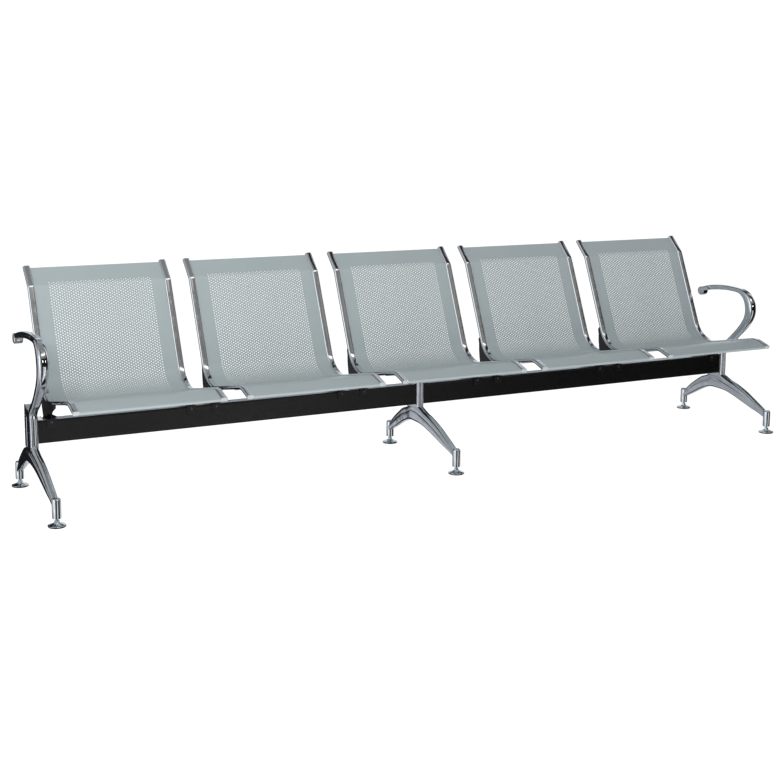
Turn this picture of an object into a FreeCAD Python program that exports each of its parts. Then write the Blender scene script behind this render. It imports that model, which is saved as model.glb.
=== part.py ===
import FreeCAD, Part
import math
import os

from FreeCAD import Vector as V

os.makedirs("parts", exist_ok=True)

# ---------------------------------------------------------------- driving dimensions (mm)
# x runs along the bench, y to the rear, z up from the floor; the origin is on the floor
# under the middle of the outline.
Y0 = 0.0                      # shift that centres the outline front to rear

# layout
SEATS = 5
PITCH = 590.0                 # seat to seat
LEG_X = [-1489.0, -9.0, 1489.0]
TUBE_GAP = 497.0              # side tube centre to centre on one seat

# beam
BEAM_H = 80.0
BEAM_D = 50.0
BEAM_WALL = 2.5
BEAM_R = 6.0
BEAM_Z = 206.0                # underside
BEAM_Y = 14.0                 # front face
BEAM_HALF = 1498.0            # half length of the tube

# clamp around the beam
CL_W = 27.0                   # along the beam
CL_FRONT = 11.0               # wall in front of the beam
CL_REAR = 28.0                # wall behind the beam
CL_SPLIT = 244.5              # height of the joint between the two halves
CL_TOP = 9.0                  # wall above the beam

# leg
POST_Y = 267.5                # half the distance between the two posts of a leg
POST_MID = -6.5               # y half way between them
POST_R = 15.0
POST_TOP_F = 95.5
POST_TOP_R = 93.0
POST_BOTTOM = 27.0
POST_BORE = 5.1               # bore for the levelling stud

# levelling foot
DISC_R = 30.0
STUD_R = 5.05
HEX_AF = 16.0
HEX_H = 6.0
LEVEL_UP = 6.0                # travel of the foot towards the post
LEVEL_DOWN = 14.0             # travel of the foot away from the post

# seat
TUBE_W = 25.0                 # side tube across the bench
TUBE_D = 15.0                 # side tube in the side view
TUBE_WALL = 1.5
TUBE_R = 6.5                  # corner radius of the tube section
PANEL_T = 1.6
PANEL_DROP = 5.2              # panel face below the tube face
PANEL_TOP = 6.0               # panel edge below the tube top

# bracket
GUSSET_T = 5.0
SADDLE_T = 3.0
SADDLE_W = 34.0
SCREW_Z = 278.0

# armrest
ARM_FLARE = 9.0               # the rear end stands this far outside the leg
CURL_R = 19.0
CURL_W = 32.0
CURL_C = (172.0, 547.5)

# ---------------------------------------------------------------- helpers


def pt(x, y, z):
    return V(x, y + Y0, z)


def box(x0, x1, y0, y1, z0, z1):
    return Part.makeBox(x1 - x0, y1 - y0, z1 - z0, pt(x0, y0, z0))


def poly_x(points, x0, x1):
    """Prism along x of a closed outline given as (y, z)."""
    w = Part.makePolygon([pt(x0, y, z) for y, z in points] + [pt(x0, *points[0])])
    return Part.Face(w).extrude(V(x1 - x0, 0, 0))


def loft(sections):
    wires = [Part.makePolygon([V(*p) for p in s] + [V(*s[0])]) for s in sections]
    return Part.makeLoft(wires, True, False)


def fuse(shapes):
    out = shapes[0]
    if len(shapes) > 1:
        out = out.multiFuse(shapes[1:])
    return out.removeSplitter()


def solid_of(shape):
    s = shape.Solids
    if len(s) == 1:
        return s[0]
    return Part.makeCompound(s)


def save(name, shape):
    s = solid_of(shape)
    s.exportStep("parts/%s.step" % name)


# ---------------------------------------------------------------- side profile of a seat
# The outline of the tube's upper and front face, from the top of the back to the front
# edge, as straight runs joined by arcs: (y, z, radius of the bend).
FACE = [
    (316.0, 779.5, 0.0),
    (251.5, 717.0, 34.0),
    (101.0, 375.0, 105.0),
    (24.0, 349.0, 90.0),
    (-254.0, 404.0, 95.0),
    (-325.0, 382.0, 0.0),
]


def rounded_path(corners, off):
    """Lines and arcs of the corner list moved by off below and behind the face."""
    pts = [(c[0], c[1]) for c in corners]
    segs = []
    for i in range(len(pts) - 1):
        (y0, z0), (y1, z1) = pts[i], pts[i + 1]
        m = math.hypot(y1 - y0, z1 - z0)
        ty, tz = (y1 - y0) / m, (z1 - z0) / m
        ny, nz = -tz, ty          # to the left of travel: behind and below the face
        segs.append((y0 + off * ny, z0 + off * nz, ty, tz, m))
    # offset corners
    out = [(segs[0][0], segs[0][1])]
    for i in range(len(segs) - 1):
        ay, az, aty, atz, _ = segs[i]
        by, bz, bty, btz, _ = segs[i + 1]
        det = aty * (-btz) + bty * atz
        s = ((by - ay) * (-btz) + bty * (bz - az)) / det
        out.append((ay + s * aty, az + s * atz))
    ly, lz, lty, ltz, lm = segs[-1]
    out.append((pts[-1][0] + off * (-ltz), pts[-1][1] + off * lty))
    edges = []
    cur = out[0]
    for i in range(1, len(out) - 1):
        aty, atz = segs[i - 1][2], segs[i - 1][3]
        bty, btz = segs[i][2], segs[i][3]
        turn = aty * btz - atz * bty
        r = corners[i][2] + (-off if turn > 0 else off)
        ang = math.acos(max(-1.0, min(1.0, aty * bty + atz * btz)))
        d = r * math.tan(ang / 2.0)
        p0 = (out[i][0] - d * aty, out[i][1] - d * atz)
        p1 = (out[i][0] + d * bty, out[i][1] + d * btz)
        my, mz = bty - aty, btz - atz
        mm = math.hypot(my, mz)
        k = r / math.cos(ang / 2.0) - r
        mid = (out[i][0] + my / mm * k, out[i][1] + mz / mm * k)
        edges.append(("line", cur, p0))
        edges.append(("arc", p0, mid, p1))
        cur = p1
    edges.append(("line", cur, out[-1]))
    return edges


def path_wire(edges, x):
    es = []
    for e in edges:
        if e[0] == "line":
            es.append(Part.makeLine(pt(x, *e[1]), pt(x, *e[2])))
        else:
            es.append(Part.Arc(pt(x, *e[1]), pt(x, *e[2]), pt(x, *e[3])).toShape())
    return Part.Wire(es)


def band(off0, off1, x0, x1):
    """Strip between two offsets of the face, as a prism along x."""
    a = rounded_path(FACE, off0)
    b = rounded_path(FACE, off1)
    wa = path_wire(a, x0)
    wb = path_wire(b, x0)
    l0 = Part.makeLine(pt(x0, *a[0][1]), pt(x0, *b[0][1]))
    l1 = Part.makeLine(pt(x0, *a[-1][2]), pt(x0, *b[-1][2]))
    w = Part.Wire(Part.__sortEdges__(wa.Edges + wb.Edges + [l0, l1]))
    return Part.Face(w).extrude(V(x1 - x0, 0, 0))


def side_tube(xc):
    """Bent tube: rounded square section, open at both ends."""
    def ring(off0, off1, w, r):
        s = band(off0, off1, xc - w / 2, xc + w / 2)
        long_edges = []
        for e in s.Edges:
            bb = e.BoundBox
            if bb.XLength < 0.01 and e.Length > 0.5:
                long_edges.append(e)
        # leave out the four short edges of each end face
        keep = []
        for e in long_edges:
            if len(e.Vertexes) == 2 and abs(e.Length - (off1 - off0)) < 0.2:
                p, q = e.Vertexes[0].Point, e.Vertexes[1].Point
                a = rounded_path(FACE, off0)
                top0, end0 = pt(xc, *a[0][1]), pt(xc, *a[-1][2])
                near = min((p - top0).Length, (q - top0).Length, (p - end0).Length, (q - end0).Length)
                if near < w:
                    continue
            keep.append(e)
        return s.makeFillet(r, keep)

    outer = ring(0.0, TUBE_D, TUBE_W, TUBE_R)
    inner = ring(TUBE_WALL, TUBE_D - TUBE_WALL, TUBE_W - 2 * TUBE_WALL, TUBE_R - TUBE_WALL)
    return outer.cut(inner)


# ---------------------------------------------------------------- seat positions
seat_x = [PITCH * (i - (SEATS - 1) / 2.0) for i in range(SEATS)]
tube_x = []
for sx in seat_x:
    tube_x.append((sx - TUBE_GAP / 2, sx + TUBE_GAP / 2))

# ---------------------------------------------------------------- beam
def beam_profile(h, d, r, y, z, x0, x1):
    b = box(x0, x1, y, y + d, z, z + h)
    es = [e for e in b.Edges if abs(e.BoundBox.XLength - (x1 - x0)) < 0.01]
    return b.makeFillet(r, es)


outer = beam_profile(BEAM_H, BEAM_D, BEAM_R, BEAM_Y, BEAM_Z, -BEAM_HALF, BEAM_HALF)
inner = beam_profile(BEAM_H - 2 * BEAM_WALL, BEAM_D - 2 * BEAM_WALL, BEAM_R - BEAM_WALL, BEAM_Y + BEAM_WALL,
                     BEAM_Z + BEAM_WALL, -BEAM_HALF - 5, BEAM_HALF + 5)
beam = outer.cut(inner)

BOLT_R = 4.0
BOLT_HOLE = 4.2
BOLT_Z = (BEAM_Z + 20.0, BEAM_Z + BEAM_H - 22.0)
rear_face = BEAM_Y + BEAM_D + CL_REAR
front_face = BEAM_Y - CL_FRONT


def y_cyl(r, x, z, y0, y1):
    return Part.makeCylinder(r, y1 - y0, pt(x, y0, z), V(0, 1, 0))


bolt_holes = [y_cyl(BOLT_HOLE, lx, z, BEAM_Y - 5.0, rear_face + 1) for lx in LEG_X for z in BOLT_Z]

SCREW_R = 2.4
SCREW_HOLE = 2.6
SCREW_SIDE = 9.5              # the rear screw sits beside the gusset plate
screw_spots = [tx for pair in tube_x for tx in pair]


def screw_bores(tx):
    """Bores for the front screw and the rear screw of one bracket."""
    half = BEAM_Y + BEAM_D / 2
    return [y_cyl(SCREW_HOLE, tx, SCREW_Z, BEAM_Y - SADDLE_T - 1, half),
            y_cyl(SCREW_HOLE, tx + SCREW_SIDE, SCREW_Z, half, BEAM_Y + BEAM_D + SADDLE_T + 1)]


screw_holes = [b for tx in screw_spots for b in screw_bores(tx)]
beam = beam.cut(Part.makeCompound(bolt_holes + screw_holes))
save("beam", beam)

# ---------------------------------------------------------------- leg
def leg_section(u, l, wu, wl, lx):
    """Closed section between a lower point l and an upper point u, both (y, z)."""
    prof = [(-wl + 7.0, 0.0), (wl - 7.0, 0.0), (wl - 1.0, 0.09), (wl, 0.15), (wl, 0.50), (wl - 1.4, 0.545), (wu, 0.56), (wu * 0.985, 0.72),
            (wu * 0.88, 0.86), (wu * 0.55, 0.965), (0.0, 1.0), (-wu * 0.55, 0.965), (-wu * 0.88, 0.86), (-wu * 0.985, 0.72),
            (-wu, 0.56), (-wl + 1.4, 0.545), (-wl, 0.50), (-wl, 0.15), (-wl + 1.0, 0.09)]
    out = []
    for x, h in prof:
        y = l[0] + (u[0] - l[0]) * h
        z = l[1] + (u[1] - l[1]) * h
        out.append((lx + x, y + Y0, z))
    return out


FRONT_ARM = [
    ((62.0, 207.0), (62.0, 136.2), 13.5, 18.0),
    ((17.5, 206.0), (35.7, 136.0), 13.5, 18.0),
    ((-6.7, 199.2), (9.4, 135.4), 13.5, 17.8),
    ((-41.1, 185.9), (-29.0, 131.8), 13.3, 17.3),
    ((-91.6, 171.7), (-79.5, 119.5), 13.0, 16.0),
    ((-148.2, 150.1), (-135.1, 102.1), 12.5, 14.5),
    ((-197.7, 126.0), (-184.6, 86.8), 12.0, 13.5),
    ((-238.2, 105.7), (-227.0, 75.9), 11.2, 12.6),
    ((-270.5, 87.8), (-263.4, 64.0), 10.5, 12.0),
]
REAR_ARM = [
    ((62.0, 207.0), (62.0, 136.2), 13.5, 18.0),
    ((99.7, 184.9), (87.8, 131.3), 13.3, 17.0),
    ((141.4, 169.7), (122.5, 119.0), 13.0, 16.0),
    ((177.1, 148.1), (160.2, 101.2), 12.3, 14.5),
    ((212.8, 123.0), (198.0, 81.3), 11.6, 13.3),
    ((240.6, 98.7), (234.7, 63.0), 11.0, 12.5),
    ((257.5, 80.8), (256.5, 51.0), 10.5, 12.0),
]


def ribbed_stem(lx, z0, z1):
    """Front wall of the clamp: a flat web with two upright half-round ribs."""
    hw = CL_W / 2
    web = box(lx - hw, lx + hw, front_face + 4.0, BEAM_Y, z0, z1)
    ribs = []
    for s in (-1, 1):
        r = hw / 2 + 0.2
        c = Part.makeCylinder(r, z1 - z0, pt(lx + s * (hw / 2 - 0.2), front_face + r, z0))
        ribs.append(c.common(box(lx - hw, lx + hw, front_face - 1, BEAM_Y, z0, z1)))
    return fuse([web] + ribs)


def post(lx, y, z1):
    s = Part.makeCylinder(POST_R, z1 - 9.0 - POST_BOTTOM, pt(lx, y, POST_BOTTOM))
    dome = Part.makeCylinder(POST_R, 9.0, pt(lx, y, z1 - 9.0))
    top = [e for e in dome.Edges if abs(e.BoundBox.ZMin - z1) < 0.01 and e.BoundBox.ZLength < 0.01]
    dome = dome.makeFillet(8.5, top)
    s = fuse([s, dome])
    low = [e for e in s.Edges if abs(e.BoundBox.ZMax - POST_BOTTOM) < 0.01]
    return s.makeChamfer(1.5, low)


def beam_bed(lx):
    """Space the beam takes in a clamp; the two end clamps are closed on the outer side."""
    x0, x1 = lx - 60, lx + 60
    if lx < -1000:
        x0 = -BEAM_HALF - 0.3
    if lx > 1000:
        x1 = BEAM_HALF + 0.3
    return beam_profile(BEAM_H, BEAM_D, BEAM_R, BEAM_Y, BEAM_Z, x0, x1)


def leg(lx):
    front = loft([leg_section(u, l, wu, wl, lx) for u, l, wu, wl in FRONT_ARM])
    rear = loft([leg_section(u, l, wu, wl, lx) for u, l, wu, wl in REAR_ARM])
    stem = ribbed_stem(lx, 196.0, CL_SPLIT)
    hw = CL_W / 2
    back = box(lx - hw, lx + hw, BEAM_Y + BEAM_D, rear_face, 188.0, CL_SPLIT)
    seat = box(lx - hw, lx + hw, front_face + 5, rear_face, 186.0, BEAM_Z)
    body = fuse([front, rear, stem, back, seat, post(lx, POST_MID - POST_Y, POST_TOP_F), post(lx, POST_MID + POST_Y, POST_TOP_R)])
    # bed for the beam, bolt holes and stud bores
    bed = beam_bed(lx)
    cuts = [bed, y_cyl(BOLT_HOLE, lx, BOLT_Z[0], BEAM_Y - 7.0, rear_face + 1)]
    for y in (POST_MID - POST_Y, POST_MID + POST_Y):
        cuts.append(Part.makeCylinder(POST_BORE, 46.0, pt(lx, y, POST_BOTTOM - 1)))
    return body.cut(cuts)


for name, lx in zip(("left", "middle", "right"), LEG_X):
    save("leg_" + name, leg(lx))

# ---------------------------------------------------------------- upper clamp half
def upper_half(lx, top_rear, flanges):
    hw = CL_W / 2
    z1 = BEAM_Z + BEAM_H + CL_TOP
    parts = [
        ribbed_stem(lx, CL_SPLIT + 0.4, z1),
        box(lx - hw, lx + hw, BEAM_Y - 1, rear_face, CL_SPLIT + 0.4, z1),
    ]
    if top_rear:
        # horn that rises at the rear of the clamp
        parts.append(poly_x([(8, z1 - 2), (14, 314), (30, 322), (48, 322), (63, 327), (rear_face - 1, 333), (rear_face, 330),
                             (rear_face, z1 - 2)], lx - hw, lx + hw))
    for s in flanges:
        a, b = sorted((lx + s * (hw - 1), lx + s * (hw + 21)))
        parts.append(box(a, b, BEAM_Y + 2, BEAM_Y + BEAM_D - 2, BEAM_Z + BEAM_H, BEAM_Z + BEAM_H + 6.0))
    return parts


def cut_upper(body, lx):
    bed = beam_bed(lx)
    return body.cut([bed, y_cyl(BOLT_HOLE, lx, BOLT_Z[1], BEAM_Y - 7.0, rear_face + 1)])


cap = fuse(upper_half(LEG_X[1], False, (-1, 1)))
cap = cut_upper(cap, LEG_X[1])
save("clamp_cap_middle", cap)

# ---------------------------------------------------------------- armrest
# centre line of the arm with its thickness: (y, z, thickness, width)
ARM = [
    (24.0, 290.0, 31.0, 27.0),
    (14.0, 316.0, 28.0, 27.5),
    (-8.0, 336.0, 26.0, 28.0),
    (-35.5, 354.5, 25.0, 28.5),
    (-63.0, 379.0, 25.5, 29.0),
    (-89.0, 403.0, 26.0, 31.0),
    (-114.0, 427.5, 29.0, 33.0),
    (-135.0, 453.0, 33.0, 35.5),
    (-146.5, 476.0, 37.0, 37.0),
    (-151.0, 502.0, 40.0, 37.5),
    (-145.5, 530.0, 39.0, 37.5),
    (-129.0, 554.0, 31.5, 36.0),
    (-105.0, 570.0, 24.0, 33.0),
    (-76.0, 578.0, 19.5, 30.0),
    (-12.0, 580.5, 19.5, 30.0),
    (46.0, 577.5, 21.0, 30.0),
    (96.0, 571.5, 22.0, 30.0),
    (140.0, 563.0, 21.0, 30.5),
    (170.0, 555.0, 19.0, 31.0),
]


def flare(y):
    """How far the arm stands outside the leg at y."""
    return ARM_FLARE * max(0.0, y + 60.0) / (CURL_C[0] + 60.0)


def arm_section(i, lx):
    y, z, t, w = ARM[i]
    if i > 12:
        lx = lx + math.copysign(flare(y), lx)
    a = ARM[max(i - 1, 0)]
    b = ARM[min(i + 1, len(ARM) - 1)]
    ty, tz = b[0] - a[0], b[1] - a[1]
    m = math.hypot(ty, tz)
    ny, nz = tz / m, -ty / m      # towards the inside of the loop
    hw, ht = w / 2, t / 2
    ro = min(hw, ht) * 0.8          # outer corners
    ri = min(hw, ht) * 0.32         # inner corners
    prof = []
    for sx, sn, r, a0 in ((1, 1, ro, 0), (-1, 1, ro, 90), (-1, -1, ri, 180), (1, -1, ri, 270)):
        for k in range(4):
            a1 = math.radians(a0 + 30 * k)
            prof.append((sx * (hw - r) + r * math.cos(a1), sn * (ht - r) + r * math.sin(a1)))
    return [(lx + px, y + Y0 - ny * pn, z - nz * pn) for px, pn in prof]


def armrest(lx, inner_side):
    body = loft([arm_section(i, lx) for i in range(len(ARM))])
    cx = lx + math.copysign(ARM_FLARE, lx)
    curl = Part.makeCylinder(CURL_R, CURL_W, pt(cx - CURL_W / 2, *CURL_C), V(1, 0, 0))
    rim = [e for e in curl.Edges if e.BoundBox.XLength < 0.01]
    curl = curl.makeFillet(5.0, rim)
    parts = [body, curl] + upper_half(lx, True, (inner_side,))
    return cut_upper(fuse(parts), lx)


save("armrest_left", armrest(LEG_X[0], 1))
save("armrest_right", armrest(LEG_X[2], -1))

# ---------------------------------------------------------------- clamp bolts
def hexagon(af, h, origin, axis):
    r = af / math.sqrt(3.0)
    pts = [V(r * math.cos(math.radians(60 * k)), r * math.sin(math.radians(60 * k)), 0) for k in range(7)]
    s = Part.Face(Part.makePolygon(pts)).extrude(V(0, 0, h))
    s.Placement = FreeCAD.Placement(origin, FreeCAD.Rotation(V(0, 0, 1), axis))
    return s


def clamp_bolt(lx, z):
    washer = y_cyl(8.5, lx, z, rear_face, rear_face + 1.6)
    head = hexagon(13.0, 5.3, pt(lx, rear_face + 1.6, z), V(0, 1, 0))
    shank = y_cyl(BOLT_R, lx, z, BEAM_Y - 6.0, rear_face + 2)
    return fuse([washer, head, shank])


save("clamp_bolts", Part.makeCompound([clamp_bolt(lx, z).Solids[0] for lx in LEG_X for z in BOLT_Z]))

# ---------------------------------------------------------------- seat panels, tubes, rails
def panel(xa, xb):
    """One bent sheet between the two side tubes."""
    off = PANEL_DROP
    s = band(off, off + PANEL_T, xa, xb)
    # trimmed a little below the tube tops
    a = rounded_path(FACE, 0.0)
    y1, z1 = a[0][1]
    y2, z2 = a[0][2]
    m = math.hypot(y2 - y1, z2 - z1)
    ty, tz = (y2 - y1) / m, (z2 - z1) / m
    c = Part.makeBox(xb - xa + 20, 60, 60, V(-(xb - xa + 20) / 2, -30, 0))
    c.Placement = FreeCAD.Placement(pt((xa + xb) / 2, y1 + ty * PANEL_TOP, z1 + tz * PANEL_TOP), FreeCAD.Rotation(V(0, 0, 1), V(0, -ty, -tz)))
    s = s.cut(c)
    # folded front edge, turned in under the sheet
    e = a[-1]
    ly, lz = e[2]
    dy, dz = e[2][0] - e[1][0], e[2][1] - e[1][1]
    m = math.hypot(dy, dz)
    dy, dz = dy / m, dz / m
    ny, nz = -dz, dy
    p0 = (ly + ny * off, lz + nz * off)
    p1 = (ly + ny * (off + 8), lz + nz * (off + 8))
    lip = poly_x([p0, (p0[0] + dy * PANEL_T, p0[1] + dz * PANEL_T), (p1[0] + dy * PANEL_T, p1[1] + dz * PANEL_T), p1], xa, xb)
    return fuse([s, lip])


RAIL_W = 30.0
RAIL_T = 3.0
RAIL_AT = (-150.0, 284.0)     # y of the cross rails, below the pan and behind the top of the back


def face_point(target_y):
    """Point and direction of the straight runs of the face at a given y."""
    for e in rounded_path(FACE, 0.0):
        if e[0] != "line":
            continue
        (y0, z0), (y1, z1) = e[1], e[2]
        if min(y0, y1) <= target_y <= max(y0, y1):
            m = math.hypot(y1 - y0, z1 - z0)
            ty, tz = (y1 - y0) / m, (z1 - z0) / m
            s = (target_y - y0) / (y1 - y0)
            return (y0 + s * (y1 - y0), z0 + s * (z1 - z0)), (ty, tz)
    raise ValueError(target_y)


def rail(xa, xb, target_y):
    (y, z), (ty, tz) = face_point(target_y)
    ny, nz = -tz, ty
    d0 = PANEL_DROP + PANEL_T
    d1 = d0 + 12.0
    h = RAIL_W / 2
    def q(along, deep):
        return (y + ty * along + ny * deep, z + tz * along + nz * deep)
    ring = [q(-h, d0), q(h, d0), q(h, d1), q(-h, d1)]
    inner = [q(-h + RAIL_T, d0 + RAIL_T), q(h - RAIL_T, d0 + RAIL_T), q(h - RAIL_T, d1 + 1), q(-h + RAIL_T, d1 + 1)]
    return poly_x(ring, xa, xb).cut(poly_x(inner, xa - 1, xb + 1))


tube_caps = []
a = rounded_path(FACE, 0.0)
mid = rounded_path(FACE, TUBE_D / 2)
for i, (x0, x1) in enumerate(tube_x):
    n = i + 1
    for side, tx in (("left", x0), ("right", x1)):
        save("seat_%d_tube_%s" % (n, side), side_tube(tx))
        for which in ("top", "front"):
            e = mid[0] if which == "top" else mid[-1]
            at = e[1] if which == "top" else e[2]
            dy, dz = (e[1][0] - e[2][0], e[1][1] - e[2][1]) if which == "top" else (e[2][0] - e[1][0], e[2][1] - e[1][1])
            m = math.hypot(dy, dz)
            axis = V(0, dy / m, dz / m)
            plate = Part.makeBox(TUBE_W - 0.6, TUBE_D - 0.6, 2.6, V(-(TUBE_W - 0.6) / 2, -(TUBE_D - 0.6) / 2, 0))
            es = [q for q in plate.Edges if q.BoundBox.ZLength > 2.0]
            plate = plate.makeFillet(TUBE_R - 0.4, es)
            es = [q for q in plate.Edges if abs(q.BoundBox.ZMin - 2.6) < 0.01]
            plate = plate.makeFillet(1.4, es)
            pw = TUBE_W - 2 * TUBE_WALL - 0.6
            pd = TUBE_D - 2 * TUBE_WALL - 0.6
            plug = Part.makeBox(pw, pd, 8.0, V(-pw / 2, -pd / 2, -8.0))
            es = [q for q in plug.Edges if q.BoundBox.ZLength > 2.0]
            plug = plug.makeFillet(TUBE_R - TUBE_WALL - 0.2, es)
            c = fuse([plate, plug])
            c.Placement = FreeCAD.Placement(pt(tx, *at), FreeCAD.Rotation(V(0, 0, 1), axis))
            tube_caps.append(c.Solids[0])
    xa, xb = x0 + TUBE_W / 2, x1 - TUBE_W / 2
    save("seat_%d_panel" % n, panel(xa, xb))
    save("seat_%d_rails" % n, Part.makeCompound([rail(xa, xb, ty).Solids[0] for ty in RAIL_AT]))
save("tube_end_caps", Part.makeCompound(tube_caps))

# ---------------------------------------------------------------- brackets
GUSSET = [(-46, 372), (-44, 337), (2, 315), (14, 301), (BEAM_Y - SADDLE_T, BEAM_Z + BEAM_H + SADDLE_T - 0.5),
          (BEAM_Y + BEAM_D + SADDLE_T, BEAM_Z + BEAM_H + SADDLE_T - 0.5), (BEAM_Y + BEAM_D + SADDLE_T, 246),
          (96, 240), (116, 258), (128, 281), (141, 307), (149, 336), (154, 368), (155, 396), (160, 416), (100, 470), (-46, 470)]


def bracket(tx):
    plate = poly_x(GUSSET, tx - GUSSET_T / 2, tx + GUSSET_T / 2)
    hw = SADDLE_W / 2
    top = BEAM_Z + BEAM_H
    yf, yr = BEAM_Y - SADDLE_T, BEAM_Y + BEAM_D + SADDLE_T
    saddle = box(tx - hw, tx + hw, yf, yr, top - 26.0, top + SADDLE_T)
    bed = beam_profile(BEAM_H, BEAM_D, BEAM_R, BEAM_Y, BEAM_Z, tx - 60, tx + 60)
    ribs = []
    for s in (-1, 1):
        w = Part.makePolygon([pt(tx + s * 2, 36, top + 2), pt(tx + s * 25, 36, top + 2), pt(tx + s * 25, 36, top + 4.5),
                              pt(tx + s * 2, 36, top + 17), pt(tx + s * 2, 36, top + 2)])
        ribs.append(Part.Face(w).extrude(V(0, 4, 0)))
    body = fuse([plate, saddle] + ribs)
    # the plate stops at the underside of the tube
    body = body.cut([bed, region_above(tx)] + screw_bores(tx))
    return body


def region_above(tx):
    """Everything above the underside of a side tube."""
    b = rounded_path(FACE, TUBE_D)
    w = path_wire(b, tx - 20)
    p0 = b[0][1]
    p1 = b[-1][2]
    far = [pt(tx - 20, *p1), pt(tx - 20, p1[0], 900), pt(tx - 20, p0[0], 900), pt(tx - 20, *p0)]
    lines = [Part.makeLine(far[k], far[k + 1]) for k in range(3)]
    face = Part.Face(Part.Wire(Part.__sortEdges__(w.Edges + lines)))
    return face.extrude(V(40, 0, 0))


for i, (x0, x1) in enumerate(tube_x):
    for side, tx in (("left", x0), ("right", x1)):
        save("seat_%d_bracket_%s" % (i + 1, side), bracket(tx))

# ---------------------------------------------------------------- bracket screws
def pan_screw(tx, sign):
    if sign < 0:
        y = BEAM_Y - SADDLE_T
        axis = V(0, -1, 0)
    else:
        y = BEAM_Y + BEAM_D + SADDLE_T
        axis = V(0, 1, 0)
    head = Part.makeCylinder(4.6, 3.0, V(0, 0, 0))
    top = [e for e in head.Edges if abs(e.BoundBox.ZMin - 3.0) < 0.01]
    head = head.makeFillet(2.0, top)
    slot = Part.makeBox(6.0, 1.0, 1.4, V(-3.0, -0.5, 1.9)).fuse(Part.makeBox(1.0, 6.0, 1.4, V(-0.5, -3.0, 1.9)))
    head = head.cut(slot)
    shank = Part.makeCylinder(SCREW_R, 12.0, V(0, 0, -12.0))
    s = fuse([head, shank])
    at = tx if sign < 0 else tx + SCREW_SIDE
    s.Placement = FreeCAD.Placement(pt(at, y, SCREW_Z), FreeCAD.Rotation(V(0, 0, 1), axis))
    return s.Solids[0]


save("bracket_screws", Part.makeCompound([pan_screw(tx, s) for tx in screw_spots for s in (-1, 1)]))

# ---------------------------------------------------------------- levelling feet
def revolve(points, x, y):
    w = Part.makePolygon([pt(x + r, y, z) for r, z in points] + [pt(x + points[0][0], y, points[0][1])])
    return Part.Face(w).revolve(pt(x, y, 0), V(0, 0, 1), 360)


STUD_TOP = POST_BOTTOM + 30.0
for name, lx in zip(("left", "middle", "right"), LEG_X):
    for end, y in (("front", POST_MID - POST_Y), ("rear", POST_MID + POST_Y)):
        tag = "foot_%s_%s" % (name, end)
        # rubber base: a ring with a raised inner seat, the sole at z = 0
        save(tag + "_rubber", revolve([(0, 0), (DISC_R - 2.0, 0), (DISC_R - 0.6, 1.2), (DISC_R - 0.6, 4.2), (DISC_R - 2.6, 4.2),
                                       (DISC_R - 2.6, 3.0), (0, 3.0)], lx, y))
        # bell disc over the rubber
        save(tag + "_disc", revolve([(0, 3.3), (DISC_R - 3.0, 3.3), (DISC_R - 3.0, 4.5), (DISC_R, 4.5), (DISC_R, 5.5), (DISC_R - 3.0, 7.0),
                                     (DISC_R - 10.0, 9.0), (14.0, 10.8), (10.5, 13.0), (9.8, 14.0), (0, 14.0)], lx, y))
        # stud with its hex
        hexn = hexagon(HEX_AF, HEX_H, pt(lx, y, 14.3), V(0, 0, 1))
        rod = Part.makeCylinder(STUD_R, STUD_TOP - 14.3 - HEX_H + 1.0, pt(lx, y, 14.3 + HEX_H - 1.0))
        tip = [e for e in rod.Edges if abs(e.BoundBox.ZMin - STUD_TOP) < 0.01 and e.BoundBox.ZLength < 0.01]
        rod = rod.makeChamfer(0.8, tip)
        save(tag + "_stud", fuse([hexn, rod]))
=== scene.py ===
import math

import bmesh
import bpy
import numpy as np
from mathutils import Matrix, Vector


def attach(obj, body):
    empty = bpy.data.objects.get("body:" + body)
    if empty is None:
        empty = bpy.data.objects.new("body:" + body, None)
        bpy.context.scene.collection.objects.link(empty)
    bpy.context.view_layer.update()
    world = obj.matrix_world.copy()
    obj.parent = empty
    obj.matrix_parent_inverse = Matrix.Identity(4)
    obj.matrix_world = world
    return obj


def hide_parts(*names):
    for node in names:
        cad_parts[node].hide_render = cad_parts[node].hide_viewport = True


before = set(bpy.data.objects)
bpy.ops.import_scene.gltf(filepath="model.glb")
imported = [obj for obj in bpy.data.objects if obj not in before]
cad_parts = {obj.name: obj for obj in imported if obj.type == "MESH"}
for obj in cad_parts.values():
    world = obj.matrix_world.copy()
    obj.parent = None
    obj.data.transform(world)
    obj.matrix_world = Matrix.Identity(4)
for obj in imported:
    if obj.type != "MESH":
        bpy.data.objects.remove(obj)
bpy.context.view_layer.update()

MM = 0.001

# ------------------------------------------------------------------ dimensions shared with the solid part (mm)
PITCH = 590.0
SEATS = 5
TUBE_GAP = 497.0
TUBE_W, TUBE_D, TUBE_R = 25.0, 15.0, 6.5
PANEL_T, PANEL_DROP, PANEL_TOP = 1.6, 5.2, 6.0
LEG_X = {"left": -1489.0, "middle": -9.0, "right": 1489.0}
FACE = [
    (316.0, 779.5, 0.0),
    (251.5, 717.0, 34.0),
    (101.0, 375.0, 105.0),
    (24.0, 349.0, 90.0),
    (-254.0, 404.0, 95.0),
    (-325.0, 382.0, 0.0),
]
seat_x = [PITCH * (i - (SEATS - 1) / 2.0) for i in range(SEATS)]
stage_things = []


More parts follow.
